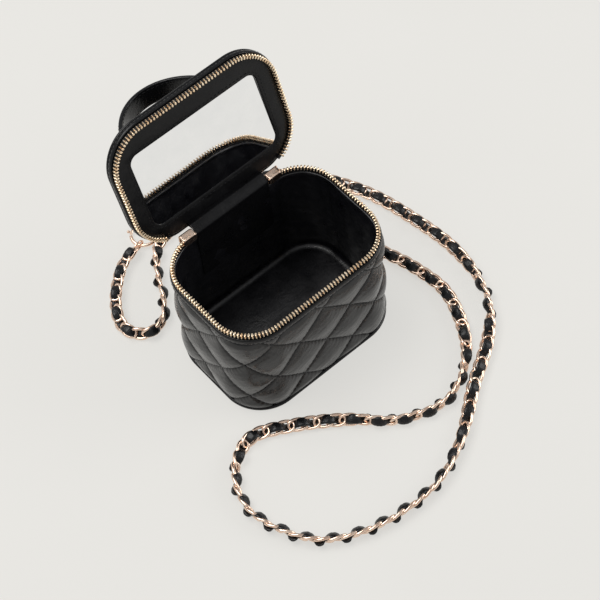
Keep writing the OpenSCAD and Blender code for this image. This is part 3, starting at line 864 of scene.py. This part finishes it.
def make_lining():
    """Lining of the wall with a rolled hem and soft folds, and the padded floor of the case."""
    s = all_round(1.2)
    top = box_mm("case_lining")[1][2]
    floor = box_mm("base_lining")[1][2]
    z = np.r_[np.linspace(top + 0.4, top - 3, 8), np.linspace(top - 5, floor + 4, 34)]
    depth = np.clip((top - z) / 12, 0, 1) * np.clip((z - floor) / 10, 0, 1)
    hem = 0.75 * np.exp(-((z - top + 0.6) / 0.9) ** 2)
    grid_s, grid_z = np.meshgrid(s, z, indexing="ij")
    folds = 0.8 * ripple(grid_s, grid_z * 0.35, 17, 1.0) + 0.3 * ripple(grid_s, grid_z, 8, 3.0)
    wavy_hem = 0.25 * ripple(grid_s, grid_z * 0, 11, 2.2)
    near_top = np.clip(1 - (top - grid_z) / 4, 0, 1)
    inset = LINING_INSET + hem + (0.9 + folds) * depth + wavy_hem * near_top
    xy, _ = rounded(grid_s, inset)
    wall = at_height(xy, grid_z + 0.3 * ripple(grid_s, 0 * grid_z, 23, 0.4) * near_top)
    lip = at_height(rounded(s, RIM_INSET)[0], top + 0.2)
    turn = np.linspace(0, math.pi / 2, 6)[1:]
    corner = []
    for a in turn:
        xy, _ = rounded(s, LINING_INSET + FLOOR_BEND * (1 - math.cos(a)))
        corner.append(at_height(xy, floor + FLOOR_BEND * (1 - math.sin(a))))
    rim, _ = rounded(s, LINING_INSET + FLOOR_BEND + 0.25)
    rings = []
    for k in np.linspace(0.985, 0.02, 26):
        xy = rim * k
        swell = 0.5 * (1 - k ** 6) + 0.3 * ripple(xy[:, 0], xy[:, 1], 26, 1.3) * (1 - k ** 4)
        rings.append(at_height(xy, floor + swell))
    points = np.stack([lip] + list(wall.transpose(1, 0, 2)) + corner + rings, 0)
    faces = grid_faces(len(points), len(s), False, True)
    faces.append([(len(points) - 1) * len(s) + k for k in range(len(s))])
    down = np.r_[0, np.cumsum(np.linalg.norm(np.diff(points[:, 0], axis=0), axis=1))]
    uv = np.stack(np.broadcast_arrays(s[None, :], down[:, None]), -1)
    piece("case_lining_satin", points, faces, LINING, "case", "lining", ["case_lining", "base_lining"],
          uv=uv, flat_angle=0)


def tape_profile(low, high, bead_up=True):
    """Zip tape: a thin woven strip with a round cord in the edge that carries the teeth."""
    t, bead = 0.25, 0.55
    edge, root = (high, low) if bead_up else (low, high)
    sign = 1 if bead_up else -1
    half = [(t, root), (t, edge - sign * 1.1), (bead, edge - sign * 0.7), (bead, edge - sign * 0.25)]
    left = [(ZIP_INSET - x, z) for x, z in half]
    right = [(ZIP_INSET + x, z) for x, z in half[::-1]]
    return left + [(ZIP_INSET, edge)] + right


BACK = PERIMETER / 2
LID_GAP = HALF_X + CORNER_R * math.radians(21)


def make_tapes():
    s = stations_between(-BACK + STRIP_HALF, BACK - STRIP_HALF, 1.6)
    low, high = box_mm("case_zip_tape")
    points, faces, uv = round_band(tape_profile(low[2], high[2] + 0.5), s)
    turned_out(piece("case_zip_tape_woven", points, faces, TAPE, "case", "zip_tape", ["case_zip_tape"],
                     uv=uv))
    s = stations_between(-BACK + LID_GAP, BACK - LID_GAP, 1.6)
    points, faces, uv = round_band(tape_profile(1.3, LID_FACING[1], bead_up=False), s, lid_place)
    turned_out(piece("lid_zip_tape_woven", points, faces, TAPE, "lid", "zip_tape", ["lid_zip_tape"],
                     uv=uv))


TOOTH_SECTIONS = (          # distance from the meeting line, half thickness across, half length along
    (3.45, 0.85, 0.36), (3.20, 1.22, 0.56), (2.00, 1.42, 0.64), (1.62, 1.36, 0.60), (1.30, 1.00, 0.42),
    (1.02, 0.98, 0.42), (0.64, 1.22, 0.62), (0.32, 1.16, 0.60), (0.12, 0.76, 0.38))


def teeth_mesh(row_end, base_z, sign, place=None):
    """Stamped zip teeth: two legs clamped on the tape and a waisted, rounded head."""
    angle = np.radians([20, 70, 110, 160, 200, 250, 290, 340])
    across = np.clip(np.cos(angle) * 1.35, -1, 1)
    along = np.clip(np.sin(angle) * 1.2, -1, 1)
    batch = Batch()
    offsets = (np.arange(int(row_end / TOOTH_PITCH)) + 0.5) * TOOTH_PITCH
    for s in np.r_[-offsets[::-1], offsets]:
        centre, normal = rounded(np.array([s]), ZIP_INSET)
        out = np.array([*normal[0], 0])
        ahead = np.array([-out[1], out[0], 0])
        rings = []
        for down, half_t, half_l in TOOTH_SECTIONS:
            slant = 0.10 * (down - 1.5)
            ring = (np.array([*centre[0], base_z - sign * down]) + ahead * slant
                    + across[:, None] * half_t * out + along[:, None] * half_l * ahead)
            rings.append(ring)
        points = np.stack(rings)
        batch.add(place(points) if place else points, capped(len(rings), len(angle)))
    return batch.mesh()


def make_teeth():
    turned_out(piece("case_zip_teeth_row", *teeth_mesh(BACK - HINGE_HALF - 1, RIM_Z, 1), ZIP_BRASS, "case",
                     "zip_metal", ["case_zip_teeth"], flat_angle=35))
    turned_out(piece("lid_zip_teeth_row", *teeth_mesh(BACK - LID_GAP, 0.0, -1, lid_place), ZIP_BRASS, "lid",
                     "zip_metal", ["lid_zip_teeth"], flat_angle=35))


# ---- lid ----

def lid_quilt(x, y):
    """Height of the quilted top: diamonds, flat under the handle's feet and at the edge."""
    foot = np.minimum(np.abs(x - HANDLE_SPAN / 2), np.abs(x + HANDLE_SPAN / 2))
    clear = np.clip((np.maximum(foot - 7, np.abs(y - HANDLE_Y) - 9.5)) / 3, 0, 1)
    edge_x = np.maximum(np.abs(x) - HALF_X, 0)
    edge_y = np.maximum(np.abs(y) - HALF_Y, 0)
    to_edge = CORNER_R - INSIDE_PIPING - np.hypot(edge_x, edge_y)
    edge = np.clip(to_edge / 4, 0, 1) ** 0.6
    puff = diamonds(x, y)
    return LID_H - 0.15 - 0.75 * (1 - puff * edge) + 0.95 * puff * clear * edge + 0.08 * ripple(x, y, 9)


def make_lid_shell():
    s = all_round(1.6)
    points, faces, _ = round_band(convex(*LID_FACING), s, lid_place)
    turned_out(piece("lid_facing_band", points, faces, GLOSSY_LEATHER, "lid", "smooth_leather",
                     ["lid_facing"]))
    edge_stitches("lid_band_stitching", -0.02, LID_FACING[1] - 0.9, "lid", "smooth_leather", lid_place)
    points, faces, _ = round_band(circle_profile(PIPING_R, LID_H - PIPING_R, PIPING_R), s, lid_place)
    turned_out(piece("lid_piping_cord", points, faces, GLOSSY_LEATHER, "lid", "smooth_leather",
                     ["lid_piping"], flat_angle=0))
    fine = all_round(1.0)
    points, faces = disc(INSIDE_PIPING, lid_quilt, LID_H - PIPING_R, 60, fine)
    top = piece("lid_quilted_top", lid_place(points), faces, QUILT_LEATHER, "lid", "quilted_leather",
                ["lid_top_panel"], flat_angle=60)
    turned_out(top)
    batch = Batch()
    for slope in (-1, 1):
        for k in range(-4, 5):
            x = np.linspace(-60, 60, 160)
            y = slope * (x - k * QUILT_L) * QUILT_H / QUILT_L
            reach = np.hypot(np.maximum(np.abs(x) - HALF_X, 0), np.maximum(np.abs(y) - HALF_Y, 0))
            foot = np.minimum(np.abs(x - HANDLE_SPAN / 2), np.abs(x + HANDLE_SPAN / 2))
            keep = (reach < CORNER_R - 5) & ((foot > 8) | (np.abs(y - HANDLE_Y) > 11))
            runs = np.split(np.flatnonzero(keep), np.flatnonzero(np.diff(np.flatnonzero(keep)) > 1) + 1)
            for run in runs:
                if len(run) > 5:
                    line = np.stack([x[run], y[run], lid_quilt(x[run], y[run])], -1)
                    lid_stitches(batch, line, [0, 0, 1], pitch=3.1, length=2.2)
    piece("lid_quilt_stitching", *batch.mesh(), THREAD, "lid", "quilted_leather")


def make_bezel():
    """Leather frame round the mirror: padded a little, rolled in at the glass, with a sewn line."""
    s = all_round(1.2)
    outer, _ = rounded(s, INSIDE_PIPING)
    inner, inner_normal = rounded(s, 0.0, *MIRROR_SHAPE)
    across = np.linspace(0, 1, 22)
    rows = [at_height(outer, BEZEL_Z + 1.1)]
    for t in across:
        xy = outer * (1 - t) + inner * t
        swell = 0.45 * math.sin(math.pi * min(1, t * 1.02)) ** 0.5
        wrinkle = 0.10 * ripple(xy[:, 0], xy[:, 1], 13, 0.7) * math.sin(math.pi * t)
        rows.append(at_height(xy, BEZEL_Z + 0.15 - swell + wrinkle))
    for drop, pull in ((0.35, 0.18), (0.75, 0.25), (1.12, 0.2), (2.0, 0.2)):
        rows.append(at_height(inner - inner_normal * pull, BEZEL_Z + drop))
    points = lid_place(np.stack(rows))
    faces = grid_faces(len(rows), len(s), True, True)
    turned_out(piece("mirror_bezel_leather", points, faces, SMOOTH_LEATHER, "lid", "smooth_leather",
                     ["mirror_bezel"], flat_angle=0))
    line, _ = rounded(s, -2.2, *MIRROR_SHAPE)
    line = at_height(line, BEZEL_Z - 0.16)
    batch = Batch()
    lid_stitches(batch, np.concatenate([line, line[:1]]), [0, 0, -1], pitch=2.9, length=2.1, radius=0.2)
    piece("bezel_stitching", *batch.mesh(), THREAD, "lid", "smooth_leather")


def make_mirror():
    """The glass behind the bezel, leaning back a little more than the lid."""
    s = all_round(1.6)
    lean = math.tan(MIRROR_LEAN)
    rows = []
    for inset, depth in ((1.0, 0.0), (-0.7, 0.0), (-0.9, 0.2), (-0.9, 0.6), (1.0, 0.7)):
        xy, _ = rounded(s, inset, *MIRROR_SHAPE)
        z = BEZEL_Z + 1.15 + depth - lean * (xy[:, 1] - MIRROR_Y)
        rows.append(at_height(xy, z))
    turned_out(piece("mirror_glass_pane", lid_place(np.stack(rows)), capped(len(rows), len(s)), MIRROR,
                     "lid", "mirror", ["mirror_glass"], flat_angle=30))


def sheet_profile(line, thickness):
    """Closed outline of a sheet of leather that follows a line of (y, z) points."""
    line = np.asarray(line, float)
    ahead = np.gradient(line, axis=0)
    ahead /= np.linalg.norm(ahead, axis=1)[:, None]
    normal = np.stack([-ahead[:, 1], ahead[:, 0]], -1)
    return np.concatenate([line + normal * thickness / 2, (line - normal * thickness / 2)[::-1]])


def make_hinge(name, node, high, thickness, half=HINGE_HALF):
    """Leather that crosses the fold: up the case, round the axis and on to the lid."""
    node_low, node_high = box_mm(node + "_case")
    y, low = (node_low[1] + node_high[1]) / 2, node_low[2]
    radius = AXIS_Y - y
    below = [(y, z) for z in np.linspace(low, RIM_Z - FOLD_START, 14)]
    turn = [math.pi - a for a in np.linspace(0.04, LID_OPEN - 0.04, 16)]
    middle = math.pi - LID_OPEN / 2
    flatter = [1 - 0.30 * (1 - ((a - middle) / (LID_OPEN / 2)) ** 2) for a in turn]
    fold = [(AXIS_Y + radius * k * math.cos(a), RIM_Z + radius * k * math.sin(a))
            for a, k in zip(turn, flatter)]
    flat = np.array([(0, y, z) for z in np.linspace(FOLD_START, high, 5)])
    beyond = [(p[1], p[2]) for p in lid_place(flat)]
    section = sheet_profile(below + fold + beyond, thickness)
    x = np.linspace(-half, half, 60)
    bulge = 0.25 * ripple(x[:, None], section[None, :, 1], 21, 1.1)
    soft = np.clip((half - np.abs(x)) / 6, 0, 1)[:, None]
    points = np.stack(np.broadcast_arrays(
        x[:, None], section[None, :, 0] + bulge * soft * (section[None, :, 1] < RIM_Z - 2),
        section[None, :, 1] + 0 * bulge), -1)
    obj = turned_out(piece(name, points, capped(len(x), len(section)), SMOOTH_LEATHER, None,
                           "smooth_leather", [node + "_case", node + "_lid"]))
    tuple(lid_place(np.array([0, y, FOLD_START])) * MM)
    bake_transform(obj)


# ---- handle ----

def make_handle():
    middle = HANDLE_SPAN / 2
    base = LID_H + TAB_T
    top = HANDLE_TOP - base - HANDLE_T / 2
    turn = np.linspace(0, math.pi, 90)
    line = np.stack([middle * np.cos(turn), np.full(90, HANDLE_Y), base + top * np.sin(turn)], -1)
    ahead = np.gradient(line, axis=0)
    ahead /= np.linalg.norm(ahead, axis=1)[:, None]
    side = np.array([0.0, 1.0, 0.0])
    out = np.cross(side, ahead)
    out *= np.sign((out * (line - [0, HANDLE_Y, base])).sum(1))[:, None]
    sides = 28
    a = np.arange(sides) * 2 * math.pi / sides
    across = blunt(np.cos(a), 0.35) * HANDLE_W / 2
    through = blunt(np.sin(a), 0.55) * HANDLE_T / 2
    pad = 1 + 0.16 * np.cos(math.pi * across / HANDLE_W) ** 2
    points = (line[:, None] + side * across[None, :, None]
              + out[:, None] * (through * pad)[None, :, None])
    turned_out(piece("handle_band", lid_place(points), capped(len(line), sides), GLOSSY_LEATHER, "lid",
                     "smooth_leather", ["handle_strap"], flat_angle=60))
    batch = Batch()
    for edge in (-1, 1):
        for face in (-1, 1):
            shift = side * edge * (HANDLE_W / 2 - 1.7) + out * face * (HANDLE_T / 2 * 0.955)
            lid_stitches(batch, (line + shift)[2:-2], (out * face)[2:-2], pitch=3.2, length=2.3, radius=0.17)
    for end, node in ((-1, "handle_tab_left"), (1, "handle_tab_right")):
        make_handle_foot(node, end * middle, batch)
    piece("handle_stitching", *batch.mesh(), THREAD, "lid", "smooth_leather")


def make_handle_foot(node, x, batch):
    """Sewn leather patch under one end of the handle."""
    half_x, half_y, radius = 7.0, HANDLE_W / 2 + 2, 4.0
    shape = half_x - radius, half_y - radius, radius, HANDLE_Y
    turn = all_round(6.0)
    rows = []
    for inset, z in ((0, 0), (-0.1, 0.5), (0.15, 0.95), (0.8, TAB_T), (2.5, TAB_T + 0.08), (3.9, TAB_T)):
        xy, _ = rounded(turn, inset, *shape)
        rows.append(at_height(xy + [x, 0], LID_H + z))
    turned_out(piece(node + "_patch", lid_place(np.stack(rows)), capped(len(rows), len(turn)),
                     SMOOTH_LEATHER, "lid", "smooth_leather", [node]))
    xy, _ = rounded(turn, 1.4, *shape)
    line = at_height(xy + [x, 0], LID_H + TAB_T + 0.05)
    lid_stitches(batch, np.concatenate([line, line[:1]]), [0, 0, 1], pitch=2.6, length=1.9, radius=0.2)


# ---- D-ring tabs and metal ----

def make_d_ring_tab(side_name):
    """Leather loop that holds a D-ring, sewn to the back of the case."""
    node = "d_ring_tab_" + side_name
    low, high = box_mm(node)
    loop_r, hole_r, plate_t = 2.0, 1.25, 1.6
    plate_y = low[1]
    centre_z = low[2] + loop_r
    centre_y = plate_y + loop_r
    outer = [(centre_y - loop_r * math.cos(a), centre_z - loop_r * math.sin(a))
             for a in np.linspace(0, math.radians(200), 20)]
    outer += [(plate_y + plate_t, centre_z + loop_r + 0.5), (plate_y + plate_t, high[2] - 0.5),
              (plate_y + plate_t - 0.4, high[2]), (plate_y, high[2])]
    outer = np.array(outer)
    x = np.linspace(low[0], high[0], 12)
    narrow = np.array([0.25] + [0.0] * 10 + [0.25])
    points = np.stack(np.broadcast_arrays(
        x[:, None], outer[None, :, 0] + 0 * x[:, None], outer[None, :, 1] + 0 * x[:, None]), -1).copy()
    middle = np.array([0, centre_y, (centre_z + high[2]) / 2])
    points[:, :, 1:] += (middle[1:] - points[:, :, 1:]) * narrow[:, None, None] * 0.15
    turned_out(piece(node + "_loop", points, capped(len(x), len(outer)), SMOOTH_LEATHER, "case",
                     "smooth_leather", [node]))
    batch = Batch()
    y = plate_y + plate_t + 0.02
    mid = (low[0] + high[0]) / 2
    half = (high[0] - low[0]) / 2 - 1.3
    corners = [(mid - half, high[2] - 1.3), (mid + half, high[2] - 1.3), (mid + half, centre_z + 4),
               (mid - half, centre_z + 4), (mid - half, high[2] - 1.3)]
    for (x0, z0), (x1, z1) in zip(corners[:-1], corners[1:]):
        line = np.linspace((x0, y, z0), (x1, y, z1), 12)
        stitch_row(batch, line, np.tile([0.0, 1.0, 0.0], (12, 1)), pitch=2.4, length=1.8, radius=0.2)
    piece(node + "_stitching", *batch.mesh(), THREAD, "case", "smooth_leather")


def carry_over(node, material, bevel=0.0):
    """Keeps a CAD node as it is, with a better material and softened edges."""
    obj = frame["nodes"][node]
    obj.data.materials.clear()
    obj.data.materials.append(material)
    if bevel:
        edge = obj.modifiers.new("softened_edges", "BEVEL")
        edge.width = bevel * MM
        edge.segments = 2
        edge.limit_method = "ANGLE"
        edge.angle_limit = math.radians(35)
        edge.harden_normals = True
    return obj


def cushion(centre, half, square=0.3):
    """A closed block with well rounded edges and corners."""
    lift = np.linspace(-1, 1, 12)[1:-1] * math.pi / 2
    turn = np.linspace(0, 2 * math.pi, 28, endpoint=False)
    out, up = blunt(np.cos(lift), square)[:, None], blunt(np.sin(lift), square)[:, None]
    x, y = out * blunt(np.cos(turn), square), out * blunt(np.sin(turn), square)
    points = np.stack(np.broadcast_arrays(x, y, up), -1) * half + centre
    faces = grid_faces(len(lift), len(turn), False, True)
    faces.append(list(range(len(turn)))[::-1])
    faces.append([(len(lift) - 1) * len(turn) + k for k in range(len(turn))])
    return points, faces


def make_slider_body(side_name):
    """The slider's cast body between its two plates, on the side away from the case's teeth."""
    low, high = box_mm("slider_" + side_name)
    across = SLIDER_HALF_Y
    batch = Batch()
    middle = (low[0] + high[0]) / 2
    line_y = low[1] + across
    batch.add(*cushion((middle, line_y, RIM_Z + 2.2), (4.7, across, 0.95)))
    batch.add(*cushion((middle, line_y - across + 0.35, RIM_Z), (4.6, 0.62, 3.0)))
    turned_out(piece("slider_%s_body" % side_name, *batch.mesh(), ROSE_GOLD, "slider_" + side_name,
                     "hardware", flat_angle=0))


def make_metal():
    make_slider_body("left")
    make_slider_body("right")
    for node in ("slider_left", "slider_right", "pull_left", "pull_right"):
        carry_over(node, ROSE_GOLD, bevel=0.14)
    for node in ("d_ring_left", "d_ring_right", "strap_ring_left", "strap_ring_right",
                 "strap_gate_left", "strap_gate_right"):
        carry_over(node, ROSE_GOLD)
    carry_over("zip_end_stops", ZIP_BRASS, bevel=0.2)
    for node in ("case_stiffener", "base_board", "lid_board", "mirror_frame_board"):
        carry_over(node, BOARD)
    carry_over("lid_padding", FOAM)


# ---- surroundings ----

def area_light(name, place, aim, size, power, colour=(1, 1, 1)):
    data = bpy.data.lights.new(name, "AREA")
    data.shape = "RECTANGLE"
    data.size, data.size_y = size
    data.energy = power
    data.color = colour
    light = bpy.data.objects.new(name, data)
    light.location = place
    light.rotation_euler = (Vector(aim) - Vector(place)).to_track_quat("-Z", "Y").to_euler()
    bpy.context.scene.collection.objects.link(light)


def make_surroundings():
    mesh = bpy.data.meshes.new("floor")
    reach = 4.0
    mesh.from_pydata([(-reach, -reach, 0), (reach, -reach, 0), (reach, reach, 0), (-reach, reach, 0)], [],
                     [(0, 1, 2, 3)])
    mesh.materials.append(floor_material())
    floor = bpy.data.objects.new("floor", mesh)
    bpy.context.scene.collection.objects.link(floor)
    world = bpy.data.worlds.new("studio")
    bpy.context.scene.world = world
    world.use_nodes = True
    background = world.node_tree.nodes["Background"]
    background.inputs["Color"].default_value = (0.97, 0.98, 1.0, 1)
    background.inputs["Strength"].default_value = 0.46
    area_light("overhead", (-0.5, 0.7, 1.8), (0, 0, 0), (1.6, 1.2), 24, (1.0, 0.99, 0.97))
    area_light("window", (1.5, -0.9, 0.9), (0, 0, 0.05), (1.1, 1.1), 13, (1.0, 0.99, 0.985))
    bpy.context.scene.view_settings.view_transform = "Standard"


make_quilted_wall()
make_case_bands()
make_base()
make_lining()
make_tapes()
make_teeth()
make_lid_shell()
make_bezel()
make_mirror()
make_hinge("hinge_inner_leather", "hinge_panel", BEZEL_Z, 0.8)
make_hinge("hinge_outer_leather", "hinge_strip", LID_FACING[0], 0.6)
make_handle()
make_d_ring_tab("left")
make_d_ring_tab("right")
make_metal()
make_surroundings()
